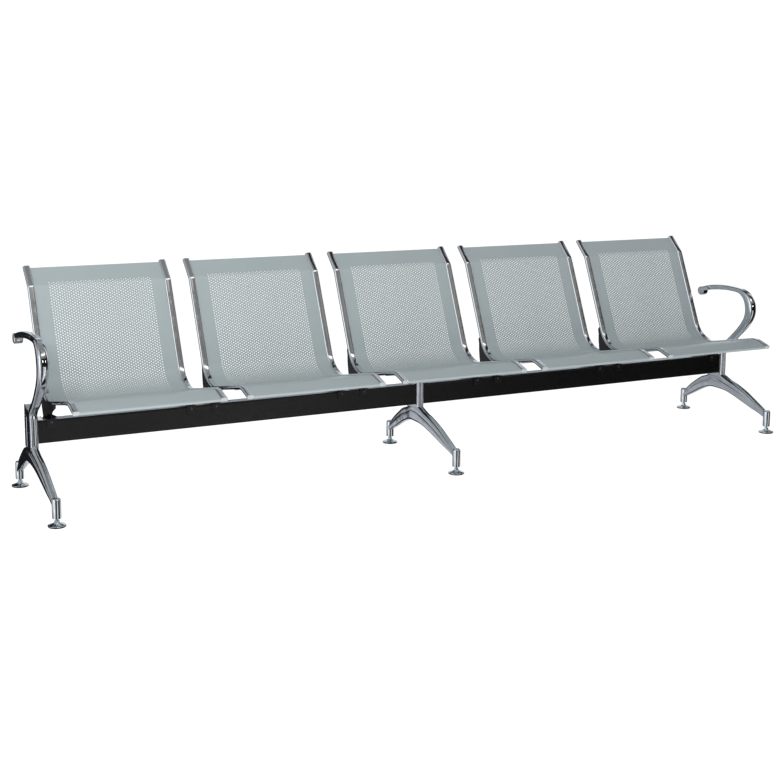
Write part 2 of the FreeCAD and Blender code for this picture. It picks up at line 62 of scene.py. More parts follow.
# ------------------------------------------------------------------ node helpers
class Tree:
    """Small helper that places and joins shader nodes."""

    def __init__(self, tree):
        self.t = tree
        self.t.nodes.clear()

    def n(self, kind, **sets):
        node = self.t.nodes.new(kind)
        for k, v in sets.items():
            setattr(node, k, v)
        return node

    def put(self, value, socket):
        if value is None:
            return
        if isinstance(value, bpy.types.NodeSocket):
            self.t.links.new(value, socket)
        else:
            socket.default_value = value

    def math(self, op, a, b=None, c=None, clamp=False):
        m = self.n("ShaderNodeMath", operation=op, use_clamp=clamp)
        for i, v in enumerate((a, b, c)):
            self.put(v, m.inputs[i])
        return m.outputs[0]

    def noise(self, scale, detail=3.0, rough=0.5, vector=None, dims="3D"):
        x = self.n("ShaderNodeTexNoise", noise_dimensions=dims)
        x.inputs["Scale"].default_value = scale
        x.inputs["Detail"].default_value = detail
        x.inputs["Roughness"].default_value = rough
        self.put(vector, x.inputs["Vector"])
        return x.outputs[0]

    def ramp(self, fac, stops, mode="LINEAR"):
        r = self.n("ShaderNodeValToRGB")
        r.color_ramp.interpolation = mode
        el = r.color_ramp.elements
        while len(el) > len(stops):
            el.remove(el[-1])
        while len(el) < len(stops):
            el.new(1.0)
        for e, (p, c) in zip(el, stops):
            e.position = p
            e.color = (c, c, c, 1) if not hasattr(c, "__len__") else (*c, 1)
        self.put(fac, r.inputs["Fac"])
        return r.outputs["Color"]

    def map(self, value, a0, a1, b0, b1, smooth=False):
        m = self.n("ShaderNodeMapRange", interpolation_type="SMOOTHSTEP" if smooth else "LINEAR")
        self.put(value, m.inputs["Value"])
        for name, v in (("From Min", a0), ("From Max", a1), ("To Min", b0), ("To Max", b1)):
            m.inputs[name].default_value = v
        return m.outputs["Result"]

    def mix(self, fac, a, b, blend="MIX"):
        m = self.n("ShaderNodeMix", data_type="RGBA", blend_type=blend)
        self.put(fac, m.inputs["Factor"])
        for v, s in ((a, m.inputs["A"]), (b, m.inputs["B"])):
            # the colour sockets are the ones of type RGBA
            pass
        cols = [s for s in m.inputs if s.type == "RGBA"]
        for v, s in zip((a, b), cols):
            self.put((*v, 1) if hasattr(v, "__len__") and len(v) == 3 else v, s)
        return [s for s in m.outputs if s.type == "RGBA"][0]

    def bump(self, height, strength, distance):
        b = self.n("ShaderNodeBump")
        b.inputs["Strength"].default_value = strength
        b.inputs["Distance"].default_value = distance
        self.put(height, b.inputs["Height"])
        return b.outputs["Normal"]


def material(name):
    m = bpy.data.materials.new(name)
    m.use_nodes = True
    t = Tree(m.node_tree)
    out = t.n("ShaderNodeOutputMaterial")
    p = t.n("ShaderNodeBsdfPrincipled")
    t.t.links.new(p.outputs["BSDF"], out.inputs["Surface"])
    co = t.n("ShaderNodeTexCoord").outputs["Object"]
    return m, t, p, co


def chrome(name, tint, rough, waves, wave_scale, smudge=0.05):
    """Bright plated metal: faint colour drift, wiped-on haze and long soft waves from the polishing."""
    m, t, p, co = material(name)
    drift = t.noise(9.0, 2.0, 0.5, co)
    low = [c * 0.90 for c in tint]
    t.put(t.mix(t.map(drift, 0.35, 0.65, 0.0, 1.0), low, tint), p.inputs["Base Color"])
    p.inputs["Metallic"].default_value = 1.0
    haze = t.noise(38.0, 5.0, 0.6, co)
    t.put(t.map(haze, 0.35, 0.75, rough, rough + smudge), p.inputs["Roughness"])
    wave = t.noise(wave_scale, 2.0, 0.4, co)
    fine = t.noise(900.0, 2.0, 0.5, co)
    h = t.math("MULTIPLY_ADD", fine, 0.015, wave)
    t.put(t.bump(h, waves, 0.004), p.inputs["Normal"])
    return m


def painted(name, colour, rough, spec=0.5, grain=0.25, grain_scale=1400.0, coat=0.0, vary=0.06, coat_rough=0.1, top_sheen=None):
    """Stoved paint: even colour with a slight drift, orange peel and a fine grain."""
    m, t, p, co = material(name)
    drift = t.noise(4.0, 3.0, 0.55, co)
    fleck = t.noise(2600.0, 1.0, 0.5, co)
    a = [max(0.0, c * (1 - vary)) for c in colour]
    b = [c * (1 + vary) for c in colour]
    base = t.mix(t.map(drift, 0.3, 0.7, 0.0, 1.0), a, b)
    base = t.mix(t.map(fleck, 0.62, 0.8, 0.0, 0.35), base, [min(1.0, c * 1.35) for c in colour])
    # painted sheen: faces that point upwards are mixed towards a lighter bluish grey, a painted sky reflection on the
    # tops, broken up by noise
    if top_sheen:
        split = t.n("ShaderNodeSeparateXYZ")
        t.put(t.n("ShaderNodeNewGeometry").outputs["Normal"], split.inputs[0])
        sheen_mask = t.math("MULTIPLY", t.map(split.outputs[2], 0.90, 0.995, 0.0, 1.0, True), t.map(t.noise(24.0, 4.0, 0.6, co), 0.25, 0.7, 0.72, 1.0))
        base = t.mix(sheen_mask, base, top_sheen)
    t.put(base, p.inputs["Base Color"])
    t.put(t.map(t.noise(60.0, 4.0, 0.6, co), 0.3, 0.7, rough - 0.03, rough + 0.05), p.inputs["Roughness"])
    p.inputs["Specular IOR Level"].default_value = spec
    p.inputs["Coat Weight"].default_value = coat
    p.inputs["Coat Roughness"].default_value = coat_rough
    t.put(t.bump(t.noise(grain_scale, 2.0, 0.5, co), grain, 0.0002), p.inputs["Normal"])
    return m


PANEL_GREY = (0.390, 0.452, 0.468)
mat_panel = painted("panel_paint_satin", PANEL_GREY, 0.36, spec=0.5, grain=0.22, vary=0.03, coat=0.12, coat_rough=0.2)
mat_panel_edge = painted("panel_edge_paint", (0.43, 0.49, 0.49), 0.3, spec=0.5, grain=0.2, vary=0.03)
# the lighter bluish grey given to the beam here is painted sheen on its upward faces, standing in for the sky
# reflected on the beam's top
mat_beam = painted("beam_black_paint", (0.0042, 0.0042, 0.0048), 0.22, spec=0.32, grain=0.2, vary=0.2, top_sheen=(0.30, 0.32, 0.38))
mat_bracket = painted("bracket_black_paint", (0.005, 0.005, 0.006), 0.26, spec=0.36, grain=0.3, vary=0.2)
mat_tube = chrome("tube_chrome_bright", (0.80, 0.83, 0.85), 0.05, 0.26, 22.0)
mat_cast = chrome("cast_chrome_polished", (0.78, 0.81, 0.84), 0.06, 0.30, 26.0)
mat_screw = chrome("screw_zinc_dark", (0.16, 0.16, 0.17), 0.22, 0.10, 60.0, 0.15)
mat_zinc = chrome("stud_zinc_blue", (0.52, 0.66, 0.68), 0.14, 0.10, 60.0, 0.12)
mat_disc = chrome("disc_chrome", (0.80, 0.82, 0.84), 0.05, 0.05, 40.0)
mat_cap = painted("end_cap_grey_plastic", (0.50, 0.53, 0.54), 0.28, spec=0.5, grain=0.2, vary=0.04)
mat_rubber = painted("rubber_black", (0.014, 0.014, 0.014), 0.62, spec=0.35, grain=0.6, grain_scale=700.0, vary=0.25)
mat_rail = painted("rail_grey_paint", (0.36, 0.41, 0.41), 0.4, spec=0.5, grain=0.22, vary=0.04)


# ------------------------------------------------------------------ mesh helpers
def new_object(name, verts, faces, mat, angle=32.0, slots=None, face_slots=None):
    """Mesh in metres from points in mm, with smooth shading up to the given angle."""
    me = bpy.data.meshes.new(name)
    v = np.asarray(verts, float) * MM
    me.from_pydata(v.tolist(), [], faces)
    for m in slots or [mat]:
        me.materials.append(m)
    bm = bmesh.new()
    bm.from_mesh(me)
    bmesh.ops.recalc_face_normals(bm, faces=bm.faces)
    lim = math.radians(angle)
    for e in bm.edges:
        if len(e.link_faces) != 2 or e.calc_face_angle(0.0) > lim:
            e.smooth = False
    for f in bm.faces:
        f.smooth = True
    bm.to_mesh(me)
    bm.free()
    if face_slots is not None:
        me.polygons.foreach_set("material_index", np.asarray(face_slots, np.int32))
    me.update()
    o = bpy.data.objects.new(name, me)
    bpy.context.scene.collection.objects.link(o)
    return o


def joined(name, parts, mat, angle=32.0):
    """One object from several (verts, faces) shells in mm."""
    verts, faces = [], []
    for v, f in parts:
        k = len(verts)
        verts.extend([tuple(p) for p in v])
        faces.extend([tuple(i + k for i in q) for q in f])
    return new_object(name, verts, faces, mat, angle)


def skin(rings, close=True):
    """Shell over rings of points, capped at both ends."""
    n = len(rings[0])
    verts = [tuple(p) for r in rings for p in r]
    faces = []
    for i in range(len(rings) - 1):
        for j in range(n):
            a, b = i * n + j, i * n + (j + 1) % n
            faces.append((a, b, b + n, a + n))
    if close:
        faces.append(tuple(range(n - 1, -1, -1)))
        faces.append(tuple(range((len(rings) - 1) * n, len(rings) * n)))
    return verts, faces


def revolve(points, x, y, n=56):
    """Shell turned about an upright line at x, y from points (r, z)."""
    rings = []
    for k in range(n):
        a = 2 * math.pi * k / n
        rings.append([(x + r * math.cos(a), y + r * math.sin(a), z) for r, z in points])
    m = len(points)
    verts = [p for r in rings for p in r]
    faces = []
    for i in range(n):
        j = (i + 1) % n
        for q in range(m - 1):
            faces.append((i * m + q, j * m + q, j * m + q + 1, i * m + q + 1))
    if points[0][0] > 0.01:
        faces.append(tuple(i * m for i in range(n)))
    if points[-1][0] > 0.01:
        faces.append(tuple(i * m + m - 1 for i in range(n)))
    return verts, faces


def rounded_outline(points, r, seg=4):
    """Closed outline with its corners rounded; points are 2-D."""
    out = []
    n = len(points)
    for i in range(n):
        p, a, b = np.array(points[i], float), np.array(points[i - 1], float), np.array(points[(i + 1) % n], float)
        u, w = a - p, b - p
        lu, lw = np.linalg.norm(u), np.linalg.norm(w)
        u, w = u / lu, w / lw
        half = math.acos(max(-1, min(1, float(u @ w)))) / 2
        d = min(r / math.tan(half), 0.45 * lu, 0.45 * lw)
        rr = d * math.tan(half)
        c = p + (u + w) / np.linalg.norm(u + w) * rr / math.sin(half)
        p0, p1 = p + u * d - c, p + w * d - c
        a0 = math.atan2(p0[1], p0[0])
        da = (math.atan2(p1[1], p1[0]) - a0 + math.pi) % (2 * math.pi) - math.pi
        for k in range(seg + 1):
            t = a0 + da * k / seg
            out.append((c[0] + rr * math.cos(t), c[1] + rr * math.sin(t)))
    return out


def slab(outline, x0, x1, edge=1.0, seg=3, corner=1.5):
    """Prism along x from an outline (y, z) with rounded edges all round."""
    pts = np.array(rounded_outline(outline, corner, 3))
    nxt, prv = np.roll(pts, -1, 0), np.roll(pts, 1, 0)
    d = nxt - prv
    d /= np.linalg.norm(d, axis=1)[:, None] + 1e-12
    nrm = np.stack([d[:, 1], -d[:, 0]], 1)
    area = 0.5 * np.sum(pts[:, 0] * nxt[:, 1] - nxt[:, 0] * pts[:, 1])
    if area < 0:
        nrm = -nrm
    rings = []
    for k in range(seg + 1):
        a = math.pi / 2 * k / seg
        rings.append((x0 + edge * (1 - math.sin(a)), edge * (1 - math.cos(a))))
    for k in range(seg, -1, -1):
        a = math.pi / 2 * k / seg
        rings.append((x1 - edge * (1 - math.sin(a)), edge * (1 - math.cos(a))))
    rings = [(x0 if False else x, i) for x, i in rings]
    return skin([[(x, p[0] - q[0] * i, p[1] - q[1] * i) for p, q in zip(pts, nrm)] for x, i in rings])


def spline(values, per):
    """Smooth curve through rows of numbers, with per steps between rows."""
    v = np.asarray(values, float)
    n = len(v)
    p = np.vstack([2 * v[0] - v[1], v, 2 * v[-1] - v[-2]])
    out = []
    for i in range(n - 1):
        a, b, c, d = p[i], p[i + 1], p[i + 2], p[i + 3]
        for k in range(per):
            t = k / per
            out.append(0.5 * (2 * b + (c - a) * t + (2 * a - 5 * b + 4 * c - d) * t ** 2 + (3 * b - a - 3 * c + d) * t ** 3))
    out.append(v[-1])
    return np.array(out)


# ------------------------------------------------------------------ side profile of a seat
class Profile:
    """The bent line of a seat in the side view, moved by off behind its face, as dense samples."""

    def __init__(self, off, lip=0.0, lip_r=3.0, lip_ahead=0.0):
        pts = [(c[0], c[1]) for c in FACE]
        segs = []
        for (y0, z0), (y1, z1) in zip(pts[:-1], pts[1:]):
            m = math.hypot(y1 - y0, z1 - z0)
            ty, tz = (y1 - y0) / m, (z1 - z0) / m
            segs.append([y0 - off * tz, z0 + off * ty, ty, tz])
        radii = [c[2] for c in FACE[1:-1]]
        corners = [(segs[0][0], segs[0][1])]
        for a, b in zip(segs[:-1], segs[1:]):
            det = a[2] * (-b[3]) + b[2] * a[3]
            s = ((b[0] - a[0]) * (-b[3]) + b[2] * (b[1] - a[1])) / det
            corners.append((a[0] + s * a[2], a[1] + s * a[3]))
        ty, tz = segs[-1][2], segs[-1][3]
        end = (pts[-1][0] - off * tz + ty * lip_ahead, pts[-1][1] + off * ty + tz * lip_ahead)
        corners.append(end)
        dirs = [(s[2], s[3]) for s in segs]
        if lip:
            corners.append((end[0] - tz * lip, end[1] + ty * lip))
            dirs.append((-tz, ty))
            radii.append(None)
        y, z, ys, zs, tys, tzs = *corners[0], [], [], [], []

        def line_to(py, pz, d):
            nonlocal y, z
            m = math.hypot(py - y, pz - z)
            k = max(2, int(m / 1.0))
            for i in range(k):
                ys.append(y + (py - y) * i / k); zs.append(z + (pz - z) * i / k)
                tys.append(d[0]); tzs.append(d[1])
            y, z = py, pz

        for i in range(1, len(corners) - 1):
            a, b = dirs[i - 1], dirs[i]
            turn = a[0] * b[1] - a[1] * b[0]
            r = lip_r if radii[i - 1] is None else radii[i - 1] + (-off if turn > 0 else off)
            ang = math.acos(max(-1.0, min(1.0, a[0] * b[0] + a[1] * b[1])))
            d = r * math.tan(ang / 2)
            line_to(corners[i][0] - d * a[0], corners[i][1] - d * a[1], a)
            s = 1.0 if turn > 0 else -1.0
            k = max(6, int(math.degrees(ang) / 1.5))
            py, pz = y, z
            for q in range(k):
                t = ang * q / k
                yy = py + r * (math.sin(t) * a[0] + (1 - math.cos(t)) * -a[1] * s)
                zz = pz + r * (math.sin(t) * a[1] + (1 - math.cos(t)) * a[0] * s)
                ys.append(yy); zs.append(zz)
                tys.append(a[0] * math.cos(t) - a[1] * s * math.sin(t))
                tzs.append(a[1] * math.cos(t) + a[0] * s * math.sin(t))
            y = py + r * (math.sin(ang) * a[0] + (1 - math.cos(ang)) * -a[1] * s)
            z = pz + r * (math.sin(ang) * a[1] + (1 - math.cos(ang)) * a[0] * s)
        line_to(*corners[-1], dirs[-1])
        ys.append(y); zs.append(z); tys.append(dirs[-1][0]); tzs.append(dirs[-1][1])
        self.y, self.z, self.ty, self.tz = map(np.array, (ys, zs, tys, tzs))
        self.s = np.concatenate([[0.0], np.cumsum(np.hypot(np.diff(self.y), np.diff(self.z)))])
        self.length = float(self.s[-1])

    def at(self, s):
        """Point and the unit vector behind the face at distance s from the top."""
        y, z = np.interp(s, self.s, self.y), np.interp(s, self.s, self.z)
        ty, tz = np.interp(s, self.s, self.ty), np.interp(s, self.s, self.tz)
        m = np.hypot(ty, tz)
        return y, z, -tz / m, ty / m

    def dense(self, s0=0.0):
        """Distances that follow the bends closely and the straight runs loosely."""
        keep = [s0]
        i = int(np.searchsorted(self.s, s0))
        last_t = math.atan2(self.tz[i], self.ty[i])
        for k in range(i + 1, len(self.s) - 1):
            t = math.atan2(self.tz[k], self.ty[k])
            if abs(t - last_t) > math.radians(2.4) or self.s[k] - keep[-1] > 26.0:
                keep.append(float(self.s[k])); last_t = t
        keep.append(self.length)
        return np.array(keep)


# ------------------------------------------------------------------ perforated panels
HOLE_PX, HOLE_PZ, HOLE_A, HOLE_B = 8.14, 10.17, 2.72, 2.08
SIDE_PLAIN = 47.0
FIRST_HOLE_Z = 722.0
LAST_HOLE_Y = -196.0


def panel_mesh():
    """The bent sheet about x = 0 with staggered oval holes cut through it."""
    mid = Profile(PANEL_DROP + PANEL_T / 2, lip=8.0, lip_r=2.6, lip_ahead=PANEL_T / 2)
    half_w = TUBE_GAP / 2 - TUBE_W / 2
    s_top = PANEL_TOP
    cols = int(round((2 * half_w - 2 * SIDE_PLAIN) / HOLE_PX))
    x_first = -cols * HOLE_PX / 2
    back_run = mid.s[(mid.z < FIRST_HOLE_Z + 4)][0]
    s0 = float(back_run)
    s_last = float(mid.s[np.argmax(mid.y < LAST_HOLE_Y)])
    halves = 2 * int((s_last - s0) / HOLE_PZ) + 1
    hp = HOLE_PZ / 2
    s1 = s0 + halves * hp
    rows_top = [s for s in mid.dense(s_top) if s < s0 - 2.0]
    rows_low = [s for s in mid.dense(s1) if s > s1 + 2.0]
    rows_mid = [s0 + hp * j for j in range(halves + 1)]
    rows = np.array(rows_top + rows_mid + rows_low)
    j0, j1 = len(rows_top), len(rows_top) + halves
    xs = [-half_w, -half_w + 1.2] + [x_first + HOLE_PX / 2 * i for i in range(2 * cols + 1)] + [half_w - 1.2, half_w]
    xs = np.array(xs)
    nx, nr = len(xs), len(rows)
    y, z, ny, nz = mid.at(rows)
    X, R = np.meshgrid(xs, np.arange(nr))
    h = PANEL_T / 2
    front = np.stack([X, (y - ny * h)[R], (z - nz * h)[R]], -1).reshape(-1, 3)
    back = np.stack([X, (y + ny * h)[R], (z + nz * h)[R]], -1).reshape(-1, 3)
    verts = [front, back]
    count = 2 * nx * nr
    vid = lambda i, j: j * nx + i
    faces, kind = [], []
    ang = np.array([math.radians(a) for a in (0, 45, 90, 135, 180, 225, 270, 315)])
    cell_cols = range(cols)
    hole_pts = []
    for c in cell_cols:
        i = 2 + 2 * c
        odd = c % 2
        j = 0
        if odd:
            a = j0
            for q in (0, 1):
                faces.append((vid(i + q, a), vid(i + q + 1, a), vid(i + q + 1, a + 1), vid(i + q, a + 1)))
            j = 1
        while j + 2 <= halves:
            a = j0 + j
            ring = [vid(i + 2, a + 1), vid(i + 2, a), vid(i + 1, a), vid(i, a), vid(i, a + 1), vid(i, a + 2), vid(i + 1, a + 2), vid(i + 2, a + 2)]
            sc = rows[a + 1]
            xc = xs[i + 1]
            px = xc + HOLE_A * np.cos(ang)
            ps = sc - HOLE_B * np.sin(ang)
            hole_pts.append((px, ps))
            base = count + 16 * (len(hole_pts) - 1)
            for k in range(8):
                m = (k + 1) % 8
                faces.append((ring[k], ring[m], base + m, base + k))
            j += 2
        while j < halves:
            a = j0 + j
            for q in (0, 1):
                faces.append((vid(i + q, a), vid(i + q + 1, a), vid(i + q + 1, a + 1), vid(i + q, a + 1)))
            j += 1
    for j in range(nr - 1):
        inside = j0 <= j < j1
        for i in range(nx - 1):
            if inside and 2 <= i < 2 + 2 * cols:
                continue
            faces.append((vid(i, j), vid(i + 1, j), vid(i + 1, j + 1), vid(i, j + 1)))
    px = np.concatenate([p[0] for p in hole_pts])
    ps = np.concatenate([p[1] for p in hole_pts])
    hy, hz, hny, hnz = mid.at(ps)
    hf = np.stack([px, hy - hny * h, hz - hnz * h], -1).reshape(-1, 8, 3)
    hb = np.stack([px, hy + hny * h, hz + hnz * h], -1).reshape(-1, 8, 3)
    holes = np.concatenate([hf, hb], 1).reshape(-1, 3)
    verts.append(holes)
    verts = np.concatenate(verts)
    n_front = nx * nr
    back_faces = []
    for f in faces:
        back_faces.append(tuple(v + n_front if v < n_front else v + 8 for v in reversed(f)))
    walls = []
    for q in range(len(hole_pts)):
        base = count + 16 * q
        for k in range(8):
            m = (k + 1) % 8
            walls.append((base + k, base + m, base + 8 + m, base + 8 + k))
    rim = []
    for i in range(nx - 1):
        for j, flip in ((0, True), (nr - 1, False)):
            a, b = vid(i, j), vid(i + 1, j)
            rim.append((a, b, b + n_front, a + n_front) if flip else (b, a, a + n_front, b + n_front))
    for j in range(nr - 1):
        for i, flip in ((0, False), (nx - 1, True)):
            a, b = vid(i, j), vid(i, j + 1)
            rim.append((a, b, b + n_front, a + n_front) if flip else (b, a, a + n_front, b + n_front))
    all_faces = faces + back_faces + walls + rim
    used = np.zeros(len(verts), bool)
    used[np.fromiter((v for f in all_faces for v in f), int)] = True
    index = np.cumsum(used) - 1
    verts = verts[used]
    all_faces = [tuple(int(index[v]) for v in f) for f in all_faces]
    me = bpy.data.meshes.new("seat_panel_sheet")
    me.from_pydata((verts * MM).tolist(), [], all_faces)
    me.materials.append(mat_panel)
    me.materials.append(mat_panel_edge)
    slots = np.zeros(len(all_faces), np.int32)
    slots[len(faces) + len(back_faces):] = 1
    me.polygons.foreach_set("material_index", slots)
    smooth = np.ones(len(all_faces), bool)
    smooth[len(faces) + len(back_faces):] = False
    me.polygons.foreach_set("use_smooth", smooth)
    me.update()
    bm = bmesh.new()
    bm.from_mesh(me)
    bmesh.ops.recalc_face_normals(bm, faces=bm.faces)
    for e in bm.edges:
        if len(e.link_faces) == 2 and e.link_faces[0].material_index != e.link_faces[1].material_index:
            e.smooth = False
    bm.to_mesh(me)
    bm.free()
    return me, len(hole_pts)


sheet_mesh, holes_per_panel = panel_mesh()
print("holes per panel", holes_per_panel, "faces", len(sheet_mesh.polygons))
for i, sx in enumerate(seat_x):
    o = bpy.data.objects.new("seat_%d_sheet" % (i + 1), sheet_mesh)
    o.location = (sx * MM, 0, 0)
    bpy.context.scene.collection.objects.link(o)
    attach(o, "bench")
    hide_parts("seat_%d_panel" % (i + 1))


# ------------------------------------------------------------------ side tubes
def tube_shell():
    mid = Profile(TUBE_D / 2)
    s = mid.dense()
    y, z, ny, nz = mid.at(s)
    hw, hd = TUBE_W / 2, TUBE_D / 2
    prof = rounded_outline([(-hw, -hd), (hw, -hd), (hw, hd), (-hw, hd)], TUBE_R, 6)
    rings = [[(px, yy + nyy * pd, zz + nzz * pd) for px, pd in prof] for yy, zz, nyy, nzz in zip(y, z, ny, nz)]
    return skin(rings, close=True)


tube_master = None
for i, sx in enumerate(seat_x):
    for side, sgn in (("left", -1), ("right", 1)):
        name = "seat_%d_side_%s" % (i + 1, side)
        if tube_master is None:
            v, f = tube_shell()
            o = new_object(name, v, f, mat_tube, 40.0)
            tube_master = o.data
        else:
            o = bpy.data.objects.new(name, tube_master)
            bpy.context.scene.collection.objects.link(o)
        o.location = ((sx + sgn * TUBE_GAP / 2) * MM, 0, 0)
        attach(o, "bench")
        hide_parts("seat_%d_tube_%s" % (i + 1, side))

# ------------------------------------------------------------------ clamps, legs and arms
BEAM_Y, BEAM_D, BEAM_Z, BEAM_H = 14.0, 50.0, 206.0, 80.0
CL_W, CL_FRONT, CL_REAR, CL_SPLIT, CL_TOP = 27.0, 11.0, 28.0, 244.5, 9.0
BEAM_HALF = 1498.0
FRONT_FACE, REAR_FACE = BEAM_Y - CL_FRONT, BEAM_Y + BEAM_D + CL_REAR
POST_Y, POST_MID, POST_R, POST_TOP_F, POST_TOP_R, POST_BOTTOM = 267.5, -6.5, 15.0, 95.5, 93.0, 27.0

FRONT_ARM = [
    (62.0, 207.0, 62.0, 136.2, 13.5, 18.0),
    (17.5, 206.0, 35.7, 136.0, 13.5, 18.0),
    (-6.7, 199.2, 9.4, 135.4, 13.5, 17.8),
    (-41.1, 185.9, -29.0, 131.8, 13.3, 17.3),
    (-91.6, 171.7, -79.5, 119.5, 13.0, 16.0),
    (-148.2, 150.1, -135.1, 102.1, 12.5, 14.5),
    (-197.7, 126.0, -184.6, 86.8, 12.0, 13.5),
    (-238.2, 105.7, -227.0, 75.9, 11.2, 12.6),
    (-270.5, 87.8, -263.4, 64.0, 10.5, 12.0),
]
REAR_ARM = [
    (62.0, 207.0, 62.0, 136.2, 13.5, 18.0),
    (99.7, 184.9, 87.8, 131.3, 13.3, 17.0),
    (141.4, 169.7, 122.5, 119.0, 13.0, 16.0),
    (177.1, 148.1, 160.2, 101.2, 12.3, 14.5),
    (212.8, 123.0, 198.0, 81.3, 11.6, 13.3),
    (240.6, 98.7, 234.7, 63.0, 11.0, 12.5),
    (257.5, 80.8, 256.5, 51.0, 10.5, 12.0),
]


def leg_ring(row, lx):
    uy, uz, ly, lz, wu, wl = row
    right = [(wl - 7.0, 0.0), (wl - 3.6, 0.03), (wl - 1.2, 0.085), (wl - 0.2, 0.13), (wl, 0.17), (wl, 0.35), (wl, 0.495), (wl - 0.4, 0.525),
             (wl - 1.4, 0.545), (wu + 0.25, 0.555), (wu, 0.575), (wu, 0.64), (wu * 0.985, 0.72), (wu * 0.95, 0.80), (wu * 0.86, 0.87), (wu * 0.72, 0.925),
             (wu * 0.54, 0.964), (wu * 0.28, 0.99), (0.0, 1.0)]
    left = [(-x, h) for x, h in reversed(right[:-1])]
    return [(lx + x, ly + (uy - ly) * h, lz + (uz - lz) * h) for x, h in right + left]


def rib_shell(x, r, z0, z1, y_front, lo_round=6.0, hi_round=0.0):
    """Upright half-round rib with a rounded lower or upper end."""
    rings = []
    n = 20
    levels = []
    for k in range(7):
        a = math.pi / 2 * (1 - k / 6)
        if lo_round:
            levels.append((z0 + lo_round * (1 - math.sin(a)), math.cos(a) if k else 0.02))
    if not lo_round:
        levels.append((z0, 1.0))
    if hi_round:
        for k in range(7):
            a = math.pi / 2 * k / 6
            levels.append((z1 - hi_round * (1 - math.sin(a)), math.cos(a) if k < 6 else 0.02))
    else:
        levels.append((z1, 1.0))
    for z, s in levels:
        rings.append([(x + r * s * math.cos(2 * math.pi * k / n), y_front + r + r * s * math.sin(2 * math.pi * k / n), z) for k in range(n)])
    return skin(rings)


def stem(lx, z0, z1, lo_round, hi_round):
    r = CL_W / 4 + 0.2
    parts = [rib_shell(lx + s * (CL_W / 4 - 0.2), r, z0, z1, FRONT_FACE, lo_round, hi_round) for s in (-1, 1)]
    z0b = z0 + (4.0 if lo_round else 0.0)
    parts.append(slab([(FRONT_FACE + 4.0, z0b), (BEAM_Y, z0b), (BEAM_Y, z1), (FRONT_FACE + 4.0, z1)], lx - CL_W / 2, lx + CL_W / 2, 1.0, 3, 0.8))
    return parts


def dome_post(lx, y, z1):
    pts = [(0.0, POST_BOTTOM), (POST_R - 2.2, POST_BOTTOM), (POST_R - 0.8, POST_BOTTOM + 0.5), (POST_R, POST_BOTTOM + 2.0), (POST_R, z1 - 11.5), (POST_R, z1 - 9.0)]
    for k in range(1, 9):
        a = math.pi / 2 * k / 8
        pts.append((POST_R - 8.5 + 8.5 * math.cos(a), z1 - 8.5 + 8.5 * math.sin(a)))
    pts.append((0.0, z1 + 0.35))
    return revolve(pts, lx, y)


for name, lx in LEG_X.items():
    hw = CL_W / 2
    shells = []
    for rows in (FRONT_ARM, REAR_ARM):
        dense = spline(rows, 6)
        shells.append(skin([leg_ring(r, lx) for r in dense]))
    shells += stem(lx, 192.0, CL_SPLIT, 7.0, 0.0)
    shells.append(slab([(BEAM_Y + BEAM_D, 188.0), (REAR_FACE, 188.0), (REAR_FACE, CL_SPLIT), (BEAM_Y + BEAM_D, CL_SPLIT)], lx - hw, lx + hw, 1.2, 3, 1.0))
    shells.append(slab([(FRONT_FACE + 5, 186.0), (REAR_FACE, 186.0), (REAR_FACE, BEAM_Z), (FRONT_FACE + 5, BEAM_Z)], lx - hw, lx + hw, 1.0, 3, 1.0))
    if name != "middle":
        a, b = (lx - hw, -BEAM_HALF - 0.3) if name == "left" else (BEAM_HALF + 0.3, lx + hw)
        shells.append(slab([(FRONT_FACE + 4, 190.0), (REAR_FACE, 190.0), (REAR_FACE, CL_SPLIT), (FRONT_FACE + 4, CL_SPLIT)], a, b, 0.8, 2, 1.0))
    shells.append(dome_post(lx, POST_MID - POST_Y, POST_TOP_F))
    shells.append(dome_post(lx, POST_MID + POST_Y, POST_TOP_R))
    o = joined("leg_%s_casting" % name, shells, mat_cast, 38.0)
    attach(o, "bench")
    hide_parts("leg_" + name)


def clamp_top(lx, flanges, closed=0):
    hw = CL_W / 2
    z1 = BEAM_Z + BEAM_H + CL_TOP
    shells = stem(lx, CL_SPLIT + 0.4, z1, 0.0, 0.0)
    shells.append(slab([(BEAM_Y - 1, BEAM_Z + BEAM_H), (REAR_FACE, BEAM_Z + BEAM_H), (REAR_FACE, z1), (BEAM_Y - 1, z1)], lx - hw, lx + hw, 1.0, 3, 1.0))
    shells.append(slab([(BEAM_Y + BEAM_D, CL_SPLIT + 0.4), (REAR_FACE, CL_SPLIT + 0.4), (REAR_FACE, z1), (BEAM_Y + BEAM_D, z1)], lx - hw, lx + hw, 1.2, 3, 1.0))
    for s in flanges:
        a, b = sorted((lx + s * (hw - 1), lx + s * (hw + 21)))
        shells.append(slab([(BEAM_Y + 2, BEAM_Z + BEAM_H + 0.1), (BEAM_Y + BEAM_D - 2, BEAM_Z + BEAM_H + 0.1), (BEAM_Y + BEAM_D - 2, BEAM_Z + BEAM_H + 6),
                            (BEAM_Y + 2, BEAM_Z + BEAM_H + 6)], a, b, 1.2, 3, 1.0))
    if closed:
        a, b = (lx - hw, -BEAM_HALF - 0.3) if closed < 0 else (BEAM_HALF + 0.3, lx + hw)
        shells.append(slab([(FRONT_FACE + 4, CL_SPLIT + 0.4), (REAR_FACE, CL_SPLIT + 0.4), (REAR_FACE, z1), (FRONT_FACE + 4, z1)], a, b, 0.8, 2, 1.0))
    return shells


o = joined("clamp_cap_middle_casting", clamp_top(LEG_X["middle"], (-1, 1)), mat_cast, 38.0)
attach(o, "bench")
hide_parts("clamp_cap_middle")

